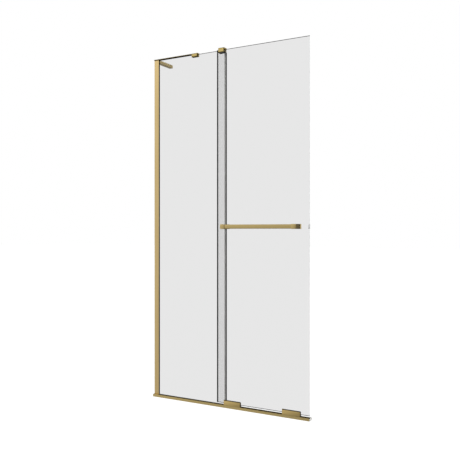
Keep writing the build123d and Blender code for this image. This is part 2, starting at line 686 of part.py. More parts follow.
# Roller carriers: front cover, back plate, pads, roller frame, screws and axles
back_inner = sliding_back + pad
back_outer = back_inner + carrier_plate_back
axle_ends = (carrier_plate_front - blind_depth, back_inner + axle_seat)
screw_tip = carrier_plate_front - blind_depth
for side, start in carrier_starts.items():
    length = (start, start + carrier_length)
    roller_xs = (start + roller_inset, start + carrier_length - roller_inset)
    axle_points = [(x, roller_height) for x in roller_xs]
    screw_points = carrier_screws[side]
    cover_inside = Plane(origin=(at_x(0), at_y(carrier_plate_front), 0), x_dir=(-1, 0, 0), z_dir=(0, 1, 0))
    back_outside = Plane(origin=(at_x(0), at_y(back_outer), 0), x_dir=(-1, 0, 0), z_dir=(0, 1, 0))

    with BuildPart() as cover:
        with BuildSketch(facing(carrier_plate_front)):
            patch(length, (carrier_foot, carrier_top))
        extrude(amount=carrier_plate_front)
        chamfer(cover.faces().sort_by(Axis.Y)[0].edges(), length=carrier_edge)
        cut_hole(cover_inside, [(-x, z) for x, z in axle_points], axle_radius + fit_clearance,
                 carrier_plate_front - axle_ends[0] + fit_clearance)
        cut_hole(cover_inside, [(-x, z) for x, z in screw_points], clamp_screw_radius + fit_clearance,
                 carrier_plate_front - screw_tip + fit_clearance)
    finish(cover, f"{side}_carrier_cover")

    with BuildPart() as back_plate:
        with BuildSketch(facing(back_outer)):
            patch(length, (carrier_foot, carrier_top))
        extrude(amount=carrier_plate_back)
        chamfer(back_plate.faces().sort_by(Axis.Y)[-1].edges(), length=carrier_edge)
        cut_hole(facing(back_inner), axle_points, axle_radius + fit_clearance,
                 axle_ends[1] - back_inner + fit_clearance)
        cut_hole(facing(back_inner), screw_points, clamp_screw_radius + fit_clearance, carrier_plate_back)
        cut_hole(back_outside, [(-x, z) for x, z in screw_points], clamp_screw_head + fit_clearance,
                 clamp_screw_head_height + fit_clearance)
    finish(back_plate, f"{side}_carrier_back_plate")

    with BuildPart() as pads:
        for plane_y in (sliding_face, back_inner):
            with BuildSketch(facing(plane_y)):
                patch(length, (sliding_foot, carrier_top - carrier_edge))
            extrude(amount=pad)
        cut_hole(facing(sliding_face - pad), screw_points, glass_hole_radius, glass + 2 * pad)
    finish(pads, f"{side}_carrier_pads")

    with BuildPart() as roller_frame:
        with BuildSketch(facing(back_inner)):
            patch((length[0] + carrier_edge, length[1] - carrier_edge), (carrier_foot, sliding_foot))
            for x in roller_xs:
                pocket = roller_outer + pocket_gap
                patch((x - pocket, x + pocket), (carrier_foot, roller_height), Mode.SUBTRACT)
                with Locations((x, roller_height)):
                    Circle(pocket, mode=Mode.SUBTRACT)
        extrude(amount=back_inner - carrier_plate_front)
    finish(roller_frame, f"{side}_carrier_roller_frame")

    with BuildPart() as clamp_screws:
        head_base = back_outer - clamp_screw_head_height
        add_rod(facing(back_outer), screw_points, clamp_screw_head, clamp_screw_head_height)
        add_rod(facing(head_base), screw_points, clamp_screw_radius, head_base - screw_tip)
        cut_hole(back_outside, [(-x, z) for x, z in screw_points], clamp_socket_radius, clamp_socket_depth)
    finish(clamp_screws, f"{side}_carrier_screws")

    with BuildPart() as axles:
        add_rod(facing(axle_ends[1]), axle_points, axle_radius, axle_ends[1] - axle_ends[0])
    finish(axles, f"{side}_carrier_axles")

    for number, x in enumerate(roller_xs, start=1):
        bush_bore = axle_radius + bearing_clearance
        bush_outer = bush_bore + bush_wall
        spin_plane = facing(sliding_mid + roller_width / 2)
        with BuildPart() as roller:
            add_rod(spin_plane, [(x, roller_height)], roller_outer, roller_width)
            fillet(roller.edges().filter_by(GeomType.CIRCLE), radius=roller_round)
            with BuildSketch(facing(sliding_mid + tread_width / 2)):
                with Locations((x, roller_height)):
                    Circle(roller_outer + pocket_gap)
                    Circle(roller_tread, mode=Mode.SUBTRACT)
            extrude(amount=tread_width, mode=Mode.SUBTRACT)
            cut_hole(facing(sliding_mid - roller_width / 2), [(x, roller_height)],
                     bush_outer + fit_clearance, roller_width)
        finish(roller, f"{side}_roller_{number}")

        with BuildPart() as bush:
            add_rod(spin_plane, [(x, roller_height)], bush_outer, roller_width)
            cut_hole(facing(sliding_mid - roller_width / 2), [(x, roller_height)], bush_bore, roller_width)
        finish(bush, f"{side}_roller_{number}_bush")
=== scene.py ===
# %% [markdown]
# # A sliding walk-in shower screen
# This lesson dresses a finished construction: the frame holds every piece of the screen at its real
# size, and the cells below give those pieces their soft edges, their glass, their brushed metal and
# their light. Everything is in metres, X runs along the screen away from the wall, Y goes from the
# room into the shower, and Z is up.

# %% Load the construction
import json
import math

import bmesh
import bpy
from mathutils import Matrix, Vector


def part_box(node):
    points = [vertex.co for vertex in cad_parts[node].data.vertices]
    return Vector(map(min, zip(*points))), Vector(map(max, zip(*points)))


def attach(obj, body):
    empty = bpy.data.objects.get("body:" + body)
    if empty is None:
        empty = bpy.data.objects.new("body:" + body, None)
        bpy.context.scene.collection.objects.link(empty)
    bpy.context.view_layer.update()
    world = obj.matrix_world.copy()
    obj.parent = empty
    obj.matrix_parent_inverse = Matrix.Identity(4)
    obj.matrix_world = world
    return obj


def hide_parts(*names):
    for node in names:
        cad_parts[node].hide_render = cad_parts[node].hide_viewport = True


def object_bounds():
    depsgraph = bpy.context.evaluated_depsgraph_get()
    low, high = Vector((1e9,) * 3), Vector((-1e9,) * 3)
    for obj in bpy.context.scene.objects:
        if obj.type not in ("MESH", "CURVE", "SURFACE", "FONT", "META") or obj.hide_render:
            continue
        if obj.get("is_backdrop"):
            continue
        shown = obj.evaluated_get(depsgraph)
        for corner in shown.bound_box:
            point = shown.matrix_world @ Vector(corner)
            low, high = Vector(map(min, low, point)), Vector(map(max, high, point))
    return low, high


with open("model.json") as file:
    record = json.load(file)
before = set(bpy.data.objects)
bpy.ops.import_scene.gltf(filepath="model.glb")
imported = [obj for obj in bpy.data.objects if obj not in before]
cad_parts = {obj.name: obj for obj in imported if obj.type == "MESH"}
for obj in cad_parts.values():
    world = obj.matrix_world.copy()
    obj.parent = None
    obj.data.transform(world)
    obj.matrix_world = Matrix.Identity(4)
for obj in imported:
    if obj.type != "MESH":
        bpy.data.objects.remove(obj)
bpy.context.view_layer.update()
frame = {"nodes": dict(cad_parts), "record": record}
nodes = frame["nodes"]
MM = 0.001
print("pieces in the construction:", len(nodes))

# %% [markdown]
# ## Colours as a maker reads them
# A paint card gives colours as hex values, which are meant for a screen. The shaders work in linear
# light. The linear numbers could be typed in directly, but nobody could hold them beside a card, so
# one small function does the change for every colour in this file.

# %% Hex to linear colour
def hex_colour(code):
    """Linear colour with alpha from a hex value such as B08D57."""
    channels = [int(code[i:i + 2], 16) / 255 for i in (0, 2, 4)]
    linear = [c / 12.92 if c <= 0.04045 else ((c + 0.055) / 1.055) ** 2.4 for c in channels]
    return (*linear, 1.0)


print("mid grey in linear light:", round(hex_colour("808080")[0], 3))

# %% [markdown]
# ## One helper for shader nodes
# Every material below is a handful of nodes, which could be dragged out by hand in the node editor.
# In code, this helper adds one node of any kind, sets its values, and links what feeds it. A socket
# is named by its label, or by its number where two share a label.

# %% Add one node
def add_node(tree, kind, settings=None, links=None):
    """A node in a tree, with its properties or socket values set and its inputs linked."""
    node = tree.nodes.new(kind)
    for key, value in (settings or {}).items():
        if isinstance(key, int) or key in node.inputs:
            node.inputs[key].default_value = value
        else:
            setattr(node, key, value)
    for key, source in (links or {}).items():
        tree.links.new(source, node.inputs[key])
    return node


def new_material(name):
    """An empty node material and its output node."""
    material = bpy.data.materials.new(name)
    material.use_nodes = True
    material.node_tree.nodes.clear()
    output = material.node_tree.nodes.new("ShaderNodeOutputMaterial")
    return material, material.node_tree, output


print("shader helpers:", add_node.__name__, "and", new_material.__name__)

# %% [markdown]
# ## Brushed, anodised aluminium
# The profiles, the handle and the blocks are aluminium, brushed along their length and anodised in a
# brass tone. Brushing leaves long fine scratches: across them the light spreads, so the face looks
# satin, and each scratch is a hair lighter or darker than the next. Real lines are about 0.2 mm
# apart. They are drawn 1.5 mm apart, with a broader 9 mm drift under them, because finer ones
# vanish at the distance of the picture. Two noises, stretched along the grain, give both. A photo of
# the lines would be simpler, but it would repeat and it could not follow each piece's own direction.

# %% The brushed metal
LINE_SPACING = 1.5 * MM
DRIFT_SPACING = 9 * MM
LINE_LENGTH = 320 * MM
DRIFT_SHARE = 0.45
SHADE_ENDS = (0.35, 0.65)
SCRATCH_STRENGTH = 0.12
SCRATCH_DEPTH = 0.02 * MM
ANODISED_LIGHT = "D0BA80"
ANODISED_DEEP = "C0A971"


def brushed_metal(name, grain_axis, light=ANODISED_LIGHT, deep=ANODISED_DEEP, roughness=(0.30, 0.42)):
    """Anodised aluminium brushed along one axis of the object."""
    material, tree, output = new_material(name)
    place = add_node(tree, "ShaderNodeTexCoord")
    shades = []
    for spacing in (LINE_SPACING, DRIFT_SPACING):
        scale = [1 / spacing] * 3
        scale["XYZ".index(grain_axis)] = 1 / LINE_LENGTH
        mapping = add_node(tree, "ShaderNodeMapping", {"Scale": scale}, {"Vector": place.outputs["Object"]})
        shades.append(add_node(tree, "ShaderNodeTexNoise", {"Scale": 1.0, "Detail": 2.0},
                               {"Vector": mapping.outputs["Vector"]}))
    both = add_node(tree, "ShaderNodeMix", {"Factor": DRIFT_SHARE},
                    {"A": shades[0].outputs["Fac"], "B": shades[1].outputs["Fac"]})
    ramp = add_node(tree, "ShaderNodeValToRGB", {}, {"Fac": both.outputs["Result"]})
    for stop, position, colour in zip(ramp.color_ramp.elements, SHADE_ENDS, (deep, light)):
        stop.position = position
        stop.color = hex_colour(colour)
    satin = add_node(tree, "ShaderNodeMapRange", {"To Min": roughness[0], "To Max": roughness[1]},
                     {"Value": both.outputs["Result"]})
    scratches = add_node(tree, "ShaderNodeBump", {"Strength": SCRATCH_STRENGTH, "Distance": SCRATCH_DEPTH},
                         {"Height": shades[0].outputs["Fac"]})
    metal = add_node(tree, "ShaderNodeBsdfPrincipled", {"Metallic": 1.0},
                     {"Base Color": ramp.outputs["Color"], "Roughness": satin.outputs["Result"],
                      "Normal": scratches.outputs["Normal"]})
    tree.links.new(metal.outputs["BSDF"], output.inputs["Surface"])
    return material


print("scratches every", LINE_SPACING / MM, "mm on a drift of", DRIFT_SPACING / MM, "mm")

# %% [markdown]
# All of the metal left the same anodising bath, yet each profile takes the light in its own way: the
# grain runs along its own length, and an upright face sees another part of the room than a level one.
# One metal for all would be shorter, but then the thin bar would shine and the tall profile would
# look flat. So each kind of piece gets its own grain, and most get a lighter or darker copy of the
# common brass: those tones are painted light and painted shade, not another finish.

# %% The brushed pieces' tones, with painted light and shade
# Satin brass with level scratches, the tone of the track, the handle and its blocks
brushed_along_x = brushed_metal("anodised_aluminium_brushed_lengthwise", "X")
# Upright scratches on a lighter copy of the brass, painted light,
# so the tall profile reads as one even stripe of gold
upright_painted_light = brushed_metal("anodised_aluminium_upright_painted_light", "Z", "DDC38D", "CDB37D")
# Scratches that run into the room, on a lighter copy of the brass: painted light that makes up
# for the glass that the wall arm is seen through
inward_painted_light = brushed_metal("anodised_aluminium_inward_painted_light", "Y", "DECA92", "CEB883")
# A lighter copy of the brass for the carriers' flat plates, painted light for their place low
# down where less light reaches
plate_painted_light = brushed_metal("anodised_aluminium_plate_painted_light", "X", "DCC282", "CCB173")
# A greener, darker copy of the brass for the clamp and the guide, painted shade for their dark sides
block_painted_shade = brushed_metal("anodised_aluminium_block_painted_shade", "X", "C2AE70", "B29D62")
# A deep olive copy of the brass, painted shade, that makes the thin stabiliser bar a dark line
# over the glass
bar_painted_shade = brushed_metal("anodised_aluminium_bar_painted_shade", "X", "76673A", "66582E")
print("brushed metals:", len(bpy.data.materials))

# %% [markdown]
# ## Toughened glass and its ground edges
# Both panes are 6 mm clear toughened glass. Clear glass bends light by an index of 1.52, shows a
# faint mirror of the room, and takes a little of the light that crosses it. The mirror is held back
# by a grey tint, because a bright one would lay a haze over the metal behind. Toughening leaves a
# very slight roller wave, some 250 mm long. A wheel grinds the level edges and polishes the upright
# ones, and their colours are painted: the level edges get a near-black painted shade, the dark line
# that a glass edge shows, and the upright edges a pale painted highlight that hardly shows. Lamps
# have to reach what stands behind the pane, so for shadow rays the glass is a plain tinted film.

# %% The glass
GLASS_TINT = "E7E7E7"
MIRROR_TINT = "505050"
FILM_TINT = "F0F1F0"
GLASS_INDEX = 1.52
WAVE_LENGTH = 250 * MM
WAVE_STRENGTH = 0.05
WAVE_DEPTH = 0.05 * MM


def clear_glass(name):
    """Clear toughened glass that lets the lamps through."""
    material, tree, output = new_material(name)
    place = add_node(tree, "ShaderNodeTexCoord")
    wave = add_node(tree, "ShaderNodeTexNoise", {"Scale": 1 / WAVE_LENGTH, "Detail": 0.0},
                    {"Vector": place.outputs["Object"]})
    ripple = add_node(tree, "ShaderNodeBump", {"Strength": WAVE_STRENGTH, "Distance": WAVE_DEPTH},
                      {"Height": wave.outputs["Fac"]})
    glass = add_node(tree, "ShaderNodeBsdfPrincipled",
                     {"Base Color": hex_colour(GLASS_TINT), "Roughness": 0.0, "IOR": GLASS_INDEX,
                      "Specular Tint": hex_colour(MIRROR_TINT), "Transmission Weight": 1.0},
                     {"Normal": ripple.outputs["Normal"]})
    film = add_node(tree, "ShaderNodeBsdfTransparent", {"Color": hex_colour(FILM_TINT)})
    path = add_node(tree, "ShaderNodeLightPath")
    choice = add_node(tree, "ShaderNodeMixShader", {},
                      {0: path.outputs["Is Shadow Ray"], 1: glass.outputs["BSDF"], 2: film.outputs["BSDF"]})
    tree.links.new(choice.outputs["Shader"], output.inputs["Surface"])
    return material


# A pane that takes a fifth of the light, so one pane reads pale grey and two a shade deeper
pane_glass = clear_glass("toughened_glass_clear")
print("glass:", pane_glass.name, "index", GLASS_INDEX)

# %% [markdown]
# The edge of a pane is the one part of it that looks solid. It could be left as clear glass, whose
# edge goes dark by itself at full size, but a pane of 6 mm is only a pixel wide here and the line
# would be lost in noise. So an edge is a surface of its own, with the grain that a wheel leaves, a
# colour that paints in the edge's light or shade, and a cover that says how much it hides.

# %% The glass edges
GRIND_GRAIN = 0.8 * MM
GRIND_SATIN = (0.25, 0.5)


def painted_glass_edge(name, light, deep, cover=1.0):
    """The edge of a pane: satin, with a fine grain, a colour that paints its light or shade, and as solid to
    the eye as its cover says.
    """
    material, tree, output = new_material(name)
    place = add_node(tree, "ShaderNodeTexCoord")
    grain = add_node(tree, "ShaderNodeTexNoise", {"Scale": 1 / GRIND_GRAIN, "Detail": 3.0},
                     {"Vector": place.outputs["Object"]})
    ramp = add_node(tree, "ShaderNodeValToRGB", {}, {"Fac": grain.outputs["Fac"]})
    ramp.color_ramp.elements[0].color = hex_colour(deep)
    ramp.color_ramp.elements[1].color = hex_colour(light)
    satin = add_node(tree, "ShaderNodeMapRange", {"To Min": GRIND_SATIN[0], "To Max": GRIND_SATIN[1]},
                     {"Value": grain.outputs["Fac"]})
    edge = add_node(tree, "ShaderNodeBsdfPrincipled", {"IOR": GLASS_INDEX, "Alpha": cover},
                    {"Base Color": ramp.outputs["Color"], "Roughness": satin.outputs["Result"]})
    tree.links.new(edge.outputs["BSDF"], output.inputs["Surface"])
    return material


# A thin near-black painted shade along the top and the foot of each pane, the dark line of its edge
level_edge_painted_shade = painted_glass_edge("glass_level_edge_painted_shade", "1C1E1C", "121412")
# A pale painted highlight down the sides of each pane, four fifths see-through
upright_edge_painted_highlight = painted_glass_edge("glass_upright_edge_painted_highlight", "F4F6F4", "E4E6E4", 0.2)
print("edges:", level_edge_painted_shade.name, upright_edge_painted_highlight.name)

# %% [markdown]
# ## Rubber, vinyl, nylon, steel and bronze
# Gaskets, pads and the sliding pane's seal are EPDM, a matt black rubber whose surface has the faint
# grain of the die it was pushed through. The fixed pane's seal is soft PVC with a pale fin, and the
# far side of its bulb is given a dark colour as painted shade. Rollers and washers are moulded nylon,
# cloudy and a little waxy, and the guide's liner is black nylon. Screws, studs and axles are stainless
# steel, turned on a lathe, and the bushes are sintered bronze with tiny pores. Each could have nodes
# of its own, but all of them share three things: a colour that is never quite even, a sheen that
# changes with it, and a grain too fine to model. So one recipe makes them all.

# %% A mottled recipe
RELIEF_STRENGTH = 0.2
RELIEF_DEPTH = 0.02 * MM
CLOUD_DEPTH = 1 * MM


def mottled(name, light, deep, grain, roughness, metallic=0.0, subsurface=0.0, cover=1.0):
    """A material with a mottled colour, uneven roughness and a fine grain."""
    material, tree, output = new_material(name)
    place = add_node(tree, "ShaderNodeTexCoord")
    speckle = add_node(tree, "ShaderNodeTexNoise", {"Scale": 1 / grain, "Detail": 4.0},
                       {"Vector": place.outputs["Object"]})
    ramp = add_node(tree, "ShaderNodeValToRGB", {}, {"Fac": speckle.outputs["Fac"]})
    ramp.color_ramp.elements[0].color = hex_colour(deep)
    ramp.color_ramp.elements[1].color = hex_colour(light)
    satin = add_node(tree, "ShaderNodeMapRange", {"To Min": roughness[0], "To Max": roughness[1]},
                     {"Value": speckle.outputs["Fac"]})
    relief = add_node(tree, "ShaderNodeBump", {"Strength": RELIEF_STRENGTH, "Distance": RELIEF_DEPTH},
                      {"Height": speckle.outputs["Fac"]})
    body = add_node(tree, "ShaderNodeBsdfPrincipled",
                    {"Metallic": metallic, "Subsurface Weight": subsurface,
                     "Subsurface Scale": CLOUD_DEPTH, "Alpha": cover},
                    {"Base Color": ramp.outputs["Color"], "Roughness": satin.outputs["Result"],
                     "Normal": relief.outputs["Normal"]})
    tree.links.new(body.outputs["BSDF"], output.inputs["Surface"])
    return material


print("relief under each speckle:", RELIEF_DEPTH / MM, "mm")

# %% [markdown]
# The recipe takes a light and a deep colour, the size of a speckle, and the span of the sheen. Rubber
# is dull and coarse, nylon finer and waxier, turned steel finer still, and the pores of the bronze
# the finest of all. Real grain is about a tenth of a millimetre or less. It is drawn coarser here, and
# even so it stays under one pixel of the picture, which is about 5 mm.

# %% The small materials
DIE_GRAIN = 2.5 * MM
MOULD_GRAIN = 1.5 * MM
TURNED_GRAIN = 0.8 * MM
PORE_SIZE = 0.5 * MM
VINYL_CLOUD = 3 * MM

# Matt black with a faint bloom, for pads, stops and the sliding pane's seal, and for the strips
# and rims that paint shade in the track and round the carriers
black_rubber_and_painted_shade = mottled("epdm_rubber_black_and_painted_shade", "222222", "181818", DIE_GRAIN, (0.45, 0.65))
# The pale fin of the fixed pane's seal, which reads as a light grey band over the glass
fin_rubber = mottled("soft_pvc_seal_grey", "FAFAF6", "F0F0EC", DIE_GRAIN, (0.35, 0.5))
# The bulb's far side, a painted shade that draws the dark line ending the fixed pane
bulb_painted_shade = mottled("soft_pvc_seal_painted_shade", "262624", "1C1C1A", DIE_GRAIN, (0.35, 0.5))
# Brown-black for the lip in the wall profile: a painted shade, its brown a painted reflection of
# the gold beside it
lip_painted_shade = mottled("epdm_rubber_lip_painted_shade", "241E10", "1A150A", DIE_GRAIN, (0.5, 0.7))
# Dull black that swallows light in the slots
gasket_rubber = mottled("epdm_rubber_gasket", "20201E", "181816", DIE_GRAIN, (0.5, 0.7))
# A milky bumper that the glass behind shines through
clear_vinyl = mottled("clear_vinyl_bumper", "F4F4F2", "ECECEA", VINYL_CLOUD, (0.2, 0.35), cover=0.2)
# Black with a waxy sheen, for the guide's liner, whose hanging edge is a painted shadow line under
# the guide
black_nylon_and_painted_shade = mottled("moulded_nylon_black_and_painted_shade", "1C1C1A", "141412", MOULD_GRAIN, (0.4, 0.55))
# Cloudy grey-white with light inside it, for rollers, sleeves and washers
moulded_nylon = mottled("moulded_nylon", "C9C7C2", "B8B6B0", MOULD_GRAIN, (0.35, 0.5), subsurface=0.1)
# Clean white that melts into a white room, for the cap on the track's outer end
white_nylon = mottled("moulded_nylon_white", "F6F5F1", "ECEBE6", MOULD_GRAIN, (0.35, 0.5))
# Cool grey with a soft highlight, for screws, studs and axles
turned_steel = mottled("stainless_steel_turned", "C8C8C8", "B4B4B4", TURNED_GRAIN, (0.22, 0.34),
                       metallic=1.0)
# Brown-gold and porous, for the bearing bushes
bush_bronze = mottled("sintered_bronze", "B08A4E", "8C6A38", PORE_SIZE, (0.4, 0.55), metallic=1.0)
print("materials so far:", len(bpy.data.materials))

# %% [markdown]
# ## Dress the pieces that keep their shape
# Extrusions, screws and rollers already have their true shape, so they only need a finish. Long
# profiles are brushed along their length: the wall profile upright, the track and the bar level. The
# track's outer end is closed by a white nylon cap. A slot gives the finish, and a few pieces differ
# from their slot, so they are named one by one.

# %% Finishes by slot
finish_for_slot = {
    "gold_profile": brushed_along_x,
    "gold_fitting": brushed_along_x,
    "clear_glass": pane_glass,
    "dark_seal": black_rubber_and_painted_shade,
    "clear_seal": clear_vinyl,
    "grey_gasket": gasket_rubber,
    "nylon": moulded_nylon,
    "steel": turned_steel,
    "bush_bronze": bush_bronze,
}
# The wall profile, its channel and the wall arm take lighter copies of the brass that paint in light, and
# the bar a darker copy that paints in shade
finish_for_node = {
    "wall_profile": upright_painted_light,
    "profile_channel": upright_painted_light,
    "stabiliser_wall_arm": inward_painted_light,
    "stabiliser_bar": bar_painted_shade,
    "top_guide_liner": black_nylon_and_painted_shade,
    "track_end_cap": white_nylon,
}
for subpart in frame["record"]["subparts"]:
    name = subpart["node"]
    finish = finish_for_node.get(name, finish_for_slot[subpart["material_slot"]])
    node = nodes[name]
    if not node.material_slots:
        node.data.materials.append(finish)
    for socket in node.material_slots:
        socket.material = finish

# %% [markdown]
# ## Tools for shaping
# The pieces that show most are shaped again, so their edges are soft. Each starts as a block
# between two corners. A block could also be dragged to size by eye, but two corners taken from the
# frame put it exactly where the real piece sits. An operator works on all that is selected, so every
# step starts clean.

# %% A block between two corners
def start_clean():
    """Object mode with nothing selected."""
    if bpy.context.mode != "OBJECT":
        bpy.ops.object.mode_set(mode="OBJECT")
    bpy.ops.object.select_all(action="DESELECT")


def make_active(piece):
    """Select one piece alone and make it active."""
    start_clean()
    piece.select_set(True)
    bpy.context.view_layer.objects.active = piece


def block_between(name, low, high):
    """A block between two corners, with its place in its mesh and its object at the origin."""
    start_clean()
    low, high = Vector(low), Vector(high)
    bpy.ops.mesh.primitive_cube_add(size=1, location=(low + high) / 2)
    piece = bpy.context.object
    piece.name = name
    piece.scale = high - low
    bpy.ops.object.transform_apply(location=True, rotation=True, scale=True)
    return piece


# %% [markdown]
# Edges are picked in code, by where they lie and which way they run, and then bevelled in edit mode.
# A bevel of a few segments catches a thin line of light, as a tumbled or polished edge does. Every
# piece here is longer than 10 mm one way, which tells its long edges from its short ones. The number
# of segments has a name, from one flat cut to a full round.

# %% Bevel chosen edges
LONG_EDGE = 10 * MM
SKIN = 1 * MM
SMOOTH_ANGLE = 35
FLAT, FINE, SOFT, ROUND, FULL = 1, 2, 3, 4, 5


def lengthwise(a, b):
    """True for an edge that runs along the screen."""
    return abs(a.x - b.x) > LONG_EDGE


def upright(a, b):
    """True for an edge that runs up the screen."""
    return abs(a.z - b.z) > LONG_EDGE


def every_edge(a, b):
    """True for any edge."""
    return True


def bevel_edges(piece, test, width, segments):
    """Bevel the edges whose two ends pass a test."""
    make_active(piece)
    bpy.ops.object.mode_set(mode="EDIT")
    bpy.ops.mesh.select_mode(type="EDGE")
    bpy.ops.mesh.select_all(action="DESELECT")
    mesh = bmesh.from_edit_mesh(piece.data)
    for edge in mesh.edges:
        if test(edge.verts[0].co, edge.verts[1].co):
            edge.select_set(True)
    bmesh.update_edit_mesh(piece.data)
    bpy.ops.mesh.bevel(offset=width, segments=segments, affect="EDGES")
    bpy.ops.object.mode_set(mode="OBJECT")
    return piece


def smooth_round(piece):
    """Smooth shading over the bevels, crisp over the corners."""
    make_active(piece)
    bpy.ops.object.shade_smooth_by_angle(angle=math.radians(SMOOTH_ANGLE))


print("an edge counts as long over", LONG_EDGE / MM, "mm")

# %% [markdown]
# Slots, sockets and holes could be built face by face. It is quicker and safer to carve them, as a
# milling cutter does: a second solid takes its shape out of the first with the Boolean modifier,
# which is then applied, and the cutter is thrown away.

# %% Carve with a cutter
HOLE_SIDES = 48


def carve(piece, cutter, operation="DIFFERENCE"):
    """Cut one piece with another, or fuse them, and drop the cutter."""
    make_active(piece)
    cut = piece.modifiers.new("carve", "BOOLEAN")
    cut.operation = operation
    cut.solver = "EXACT"
    cut.object = cutter
    bpy.ops.object.modifier_apply(modifier=cut.name)
    bpy.data.objects.remove(cutter, do_unlink=True)
    return piece


def drill(piece, x, z, radius, y_low, y_high):
    """A round hole along Y."""
    start_clean()
    bpy.ops.mesh.primitive_cylinder_add(
        vertices=HOLE_SIDES, radius=radius, depth=y_high - y_low, rotation=(math.pi / 2, 0, 0),
        location=(x, (y_low + y_high) / 2, z))
    cutter = bpy.context.object
    bpy.ops.object.transform_apply(location=True, rotation=True, scale=True)
    return carve(piece, cutter)


print("a drilled hole has", HOLE_SIDES, "sides")

# %% [markdown]
# A finished piece takes a material and the body that it rides when the pane slides. Where it
# stands for a plain piece of the construction, that one is hidden. One function does all of it, so
# that no piece is forgotten.

# %% Settle a finished piece
def settle(piece, material, slot, body, *replaced):
    """Give a finished piece its material and body, and hide what it stands for. The slot is not used."""
    if not piece.data.materials:
        piece.data.materials.append(material)
    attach(piece, body)
    if replaced:
        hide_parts(*replaced)
    size = [round(d / MM, 1) for d in piece.dimensions]
    print(piece.name, "mm:", size, "faces:", len(piece.data.polygons))


print("bodies that pieces can ride: fixed_screen and sliding_panel")

# %% [markdown]
# ## The two panes
# A pane starts as a block and gets the flat bevel that a grinding wheel leaves along all its edges,
# wider on the level ones. The sliding pane is drilled for the handle's studs and for the screws of
# the roller carriers. Faces that look along the screen's depth are clear. Of the others, those that
# look up or down take the dark painted shade of a ground edge, and those that look sideways the pale
# painted highlight of a polished one. A flat plane would look like glass from the front, but it has
# no edges, and on a clear pane the edges are what shows.

# %% Shape the glass
LEVEL_GRIND = 2.8 * MM
UPRIGHT_GRIND = 1.0 * MM
CLEAR, LEVEL, UPRIGHT = 0, 1, 2
FACES_DEPTH = 0.9
FACES_LEVEL = 0.5


def glass_pane(name, node, body, holes=()):
    """A pane with ground edges and drilled holes."""
    low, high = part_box(node)
    pane = block_between(name, low, high)
    bevel_edges(pane, lengthwise, LEVEL_GRIND, FLAT)
    bevel_edges(pane, upright, UPRIGHT_GRIND, FLAT)
    for x, z, radius in holes:
        drill(pane, x, z, radius, low.y - LEVEL_GRIND, high.y + LEVEL_GRIND)
    for material in (pane_glass, level_edge_painted_shade, upright_edge_painted_highlight):
        pane.data.materials.append(material)
    for face in pane.data.polygons:
        face.material_index = CLEAR
        if abs(face.normal.y) < FACES_DEPTH:
            face.material_index = LEVEL if abs(face.normal.z) > FACES_LEVEL else UPRIGHT
    settle(pane, pane_glass, "clear_glass", body, node)


glass_pane("fixed_pane", "fixed_glass", "fixed_screen")

# %% [markdown]
# Toughened glass can't be drilled later, so the sliding pane gets all its holes first: one for each
# stud of the handle and two for the screws of each carrier. Their places come from the boxes of the
# pieces that they serve, so that hole and screw can never part.

# %% The drilled pane
STUD_HOLE = 6 * MM
SCREW_HOLE = 4 * MM
pane_holes = []
for side in ("left", "right"):
    block_low, block_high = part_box(f"handle_standoff_{side}")
    middle = (block_low + block_high) / 2
    pane_holes.append((middle.x, middle.z, STUD_HOLE))
    screw_low, screw_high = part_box(f"{side}_carrier_screws")
    for x in (screw_low.x + SCREW_HOLE, screw_high.x - SCREW_HOLE):
        pane_holes.append((x, (screw_low.z + screw_high.z) / 2, SCREW_HOLE))

glass_pane("sliding_pane", "sliding_glass", "sliding_panel", pane_holes)
print("holes in the sliding pane:", len(pane_holes))

# %% [markdown]
# ## The handle
# The handle doubles as a towel bar: a flat tube with rounded edges between two square blocks. A
# rounded block is enough for the tube, because both its ends are hidden.

# %% Towel bar
BAR_ROUND = 2 * MM

bar_low, bar_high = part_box("handle_bar")
towel_bar = block_between("towel_bar", bar_low, bar_high)
bevel_edges(towel_bar, lengthwise, BAR_ROUND, FULL)
smooth_round(towel_bar)
settle(towel_bar, brushed_along_x, "gold_profile", "sliding_panel", "handle_bar")

# %% [markdown]
# The blocks stand off the glass, and a cap behind the glass takes the other end of each stud. The bar
# could simply run into each block, but a real joint shows a hair of shadow. So each block is carved
# for the bar with a little clearance, and a fine dark line runs round the bar where it goes in.

# %% Blocks and caps
BLOCK_ROUND = 0.9 * MM
SHADOW_GAP = 0.25 * MM

gap = Vector((SHADOW_GAP, SHADOW_GAP, SHADOW_GAP))
for side in ("left", "right"):
    low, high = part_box(f"handle_standoff_{side}")
    block = block_between(f"standoff_block_{side}", low, high)
    bevel_edges(block, every_edge, BLOCK_ROUND, SOFT)
    socket = block_between("socket_cutter", bar_low - gap, bar_high + gap)
    bevel_edges(socket, lengthwise, BAR_ROUND, FULL)
    carve(block, socket)
    smooth_round(block)
    settle(block, brushed_along_x, "gold_fitting", "sliding_panel", f"handle_standoff_{side}")

    low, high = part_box(f"handle_inner_cap_{side}")
    cap = block_between(f"inner_cap_{side}", low, high)
    bevel_edges(cap, every_edge, BLOCK_ROUND, SOFT)
    smooth_round(cap)
    settle(cap, brushed_along_x, "gold_fitting", "sliding_panel", f"handle_inner_cap_{side}")

# %% [markdown]
# ## The roller carriers
# Each carrier is a sandwich: a front cover and a back plate with the glass between them, and a nylon
# frame under the glass that holds two rollers. The cover is what shows, a plain plate with a narrow
# rounded edge, in a lighter brass that is painted light. The black rubber between it and the glass
# is made to stand out at the top and the sides as a rim of painted shade, which draws the dark line
# of shade round the plate. Both are blocks with soft edges, and the rim starts where the plate's
# back ends.

# %% Carrier covers
COVER_ROUND = 0.5 * MM
RIM_SIDE = 1.0 * MM
RIM_TOP = 4.0 * MM
RIM_ROUND = 0.15 * MM

